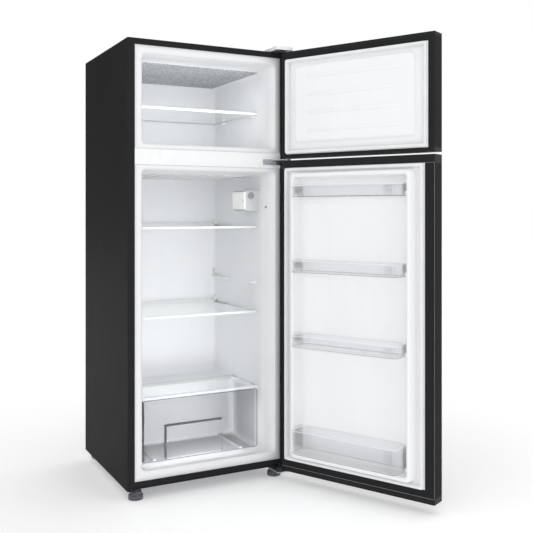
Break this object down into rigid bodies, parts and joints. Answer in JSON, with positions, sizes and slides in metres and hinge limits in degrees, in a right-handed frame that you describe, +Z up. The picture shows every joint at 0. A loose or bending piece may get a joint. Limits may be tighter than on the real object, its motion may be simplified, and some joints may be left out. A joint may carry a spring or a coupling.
{
  "type": "top freezer refrigerator",
  "caption": "Apartment-size top freezer refrigerator with open doors, glass shelves, a crisper drawer and door bins.",
  "frame": {"origin": "on the floor, under the middle of the right front foot", "axes": "+Z up, -Y towards the front, +X towards the door hinges"},
  "size_m": [0.803, 1.04, 1.441],
  "materials": {
    "black_steel": "fine satin paint",
    "back_steel": "coated sheet",
    "black_plastic": "fine grain",
    "white_liner": "satin vacuum-formed sheet",
    "white_steel": "gloss paint",
    "white_trim": "satin moulding",
    "seal": "soft",
    "foam": "rigid foam, sealed inside",
    "zinc_steel": "zinc plated",
    "evaporator": "embossed, grey",
    "copper": "drawn copper tube",
    "compressor_black": "gloss enamel",
    "clear_bin": "clear moulding",
    "shelf_glass": "clear",
    "lamp_diffuser": "translucent",
    "lamp_glass": "frosted",
    "grey_plastic": "moulded",
    "nylon": "moulded",
    "black_rubber": "moulded"
  },
  "bodies": {
    "cabinet": {"outer_wrapper": "black_steel", "back_panel": "back_steel", "bottom_panel": "zinc_steel", "front_crossbar": "black_steel", "base_rails": "zinc_steel", "cabinet_foam": "foam", "freezer_liner": "white_liner", "fridge_liner": "white_liner", "fridge_walls": "white_liner", "shelf_ledges": "white_liner", "mullion_cover": "white_steel", "evaporator_plate": "evaporator", "top_hinge": "zinc_steel", "top_hinge_cover": "white_trim", "middle_hinge": "zinc_steel", "bottom_hinge": "zinc_steel", "fasteners": "zinc_steel", "control_housing": "white_trim", "lamp_cover": "lamp_diffuser", "lamp_bulb": "lamp_glass", "switch_housing": "white_trim", "compressor": "compressor_black", "compressor_plate": "zinc_steel", "compressor_grommets": "black_rubber", "relay_cover": "black_plastic", "evaporating_tray": "black_plastic", "drain_tube": "white_trim", "refrigerant_pipes": "copper", "cord_gland": "black_rubber"},
    "freezer_door": {"freezer_door_skin": "black_steel", "freezer_door_caps": "black_plastic", "freezer_door_foam": "foam", "freezer_door_liner": "white_liner", "freezer_door_gasket": "seal", "freezer_door_bushes": "nylon"},
    "fridge_door": {"fridge_door_skin": "black_steel", "fridge_door_caps": "black_plastic", "fridge_door_foam": "foam", "fridge_door_liner": "white_liner", "fridge_door_gasket": "seal", "fridge_door_bushes": "nylon"},
    "bin_1": {"door_bin_1": "clear_bin"},
    "bin_2": {"door_bin_2": "clear_bin"},
    "bin_3": {"door_bin_3": "clear_bin"},
    "bin_4": {"door_bin_4": "clear_bin"},
    "freezer_shelf": {"freezer_shelf_glass": "shelf_glass", "freezer_shelf_trims": "white_trim"},
    "upper_shelf": {"upper_shelf_glass": "shelf_glass", "upper_shelf_trims": "white_trim"},
    "lower_shelf": {"lower_shelf_glass": "shelf_glass", "lower_shelf_trims": "white_trim"},
    "crisper_cover": {"crisper_glass": "shelf_glass", "crisper_glass_trim": "white_trim"},
    "drawer": {"crisper_drawer": "clear_bin"},
    "knob": {"thermostat_knob": "white_trim"},
    "door_switch": {"switch_plunger": "white_trim"},
    "foot_left": {"front_foot_left": "grey_plastic"},
    "foot_right": {"front_foot_right": "grey_plastic"},
    "roller_left": {"rear_roller_left": "nylon"},
    "roller_right": {"rear_roller_right": "nylon"}
  },
  "joints": [
    {"name": "freezer_door_hinge", "type": "hinge", "parent": "cabinet", "child": "freezer_door", "pos_m": [0.022, -0.062, 0], "axis": [0, 0, 1], "range_deg": [-115.8, 19.2]},
    {"name": "fridge_door_hinge", "type": "hinge", "parent": "cabinet", "child": "fridge_door", "pos_m": [0.022, -0.062, 0], "axis": [0, 0, 1], "range_deg": [-115.8, 19.2]},
    {"name": "bin_1_lift", "type": "slide", "parent": "fridge_door", "child": "bin_1", "axis": [0, 0, 1], "range_m": [0, 0.0145]},
    {"name": "bin_2_lift", "type": "slide", "parent": "fridge_door", "child": "bin_2", "axis": [0, 0, 1], "range_m": [0, 0.03]},
    {"name": "bin_3_lift", "type": "slide", "parent": "fridge_door", "child": "bin_3", "axis": [0, 0, 1], "range_m": [0, 0.03]},
    {"name": "bin_4_lift", "type": "slide", "parent": "fridge_door", "child": "bin_4", "axis": [0, 0, 1], "range_m": [0, 0.03]},
    {"name": "freezer_shelf_slide", "type": "slide", "parent": "cabinet", "child": "freezer_shelf", "axis": [0, -1, 0], "range_m": [0, 0.2]},
    {"name": "upper_shelf_slide", "type": "slide", "parent": "cabinet", "child": "upper_shelf", "axis": [0, -1, 0], "range_m": [0, 0.2]},
    {"name": "lower_shelf_slide", "type": "slide", "parent": "cabinet", "child": "lower_shelf", "axis": [0, -1, 0], "range_m": [0, 0.2]},
    {"name": "crisper_cover_slide", "type": "slide", "parent": "cabinet", "child": "crisper_cover", "axis": [0, -1, 0], "range_m": [0, 0.15]},
    {"name": "drawer_slide", "type": "slide", "parent": "cabinet", "child": "drawer", "axis": [0, -1, 0], "range_m": [0, 0.2]},
    {"name": "knob_turn", "type": "hinge", "parent": "cabinet", "child": "knob", "pos_m": [-0.064, 0.05, 0.948], "axis": [0, -1, 0], "range_deg": [-135, 135]},
    {"name": "door_switch_push", "type": "slide", "parent": "cabinet", "child": "door_switch", "axis": [0, 1, 0], "range_m": [0, 0.0045], "stiffness_N_per_m": 150, "springref_m": -0.004},
    {"name": "foot_left_turn", "type": "hinge", "parent": "cabinet", "child": "foot_left", "pos_m": [-0.486, 0, 0], "axis": [0, 0, 1], "continuous": true},
    {"name": "foot_right_turn", "type": "hinge", "parent": "cabinet", "child": "foot_right", "pos_m": [0, 0, 0], "axis": [0, 0, 1], "continuous": true},
    {"name": "roller_left_roll", "type": "hinge", "parent": "cabinet", "child": "roller_left", "pos_m": [-0.493, 0.441, 0.0145], "axis": [1, 0, 0], "continuous": true},
    {"name": "roller_right_roll", "type": "hinge", "parent": "cabinet", "child": "roller_right", "pos_m": [0.007, 0.441, 0.0145], "axis": [1, 0, 0], "continuous": true}
  ]
}
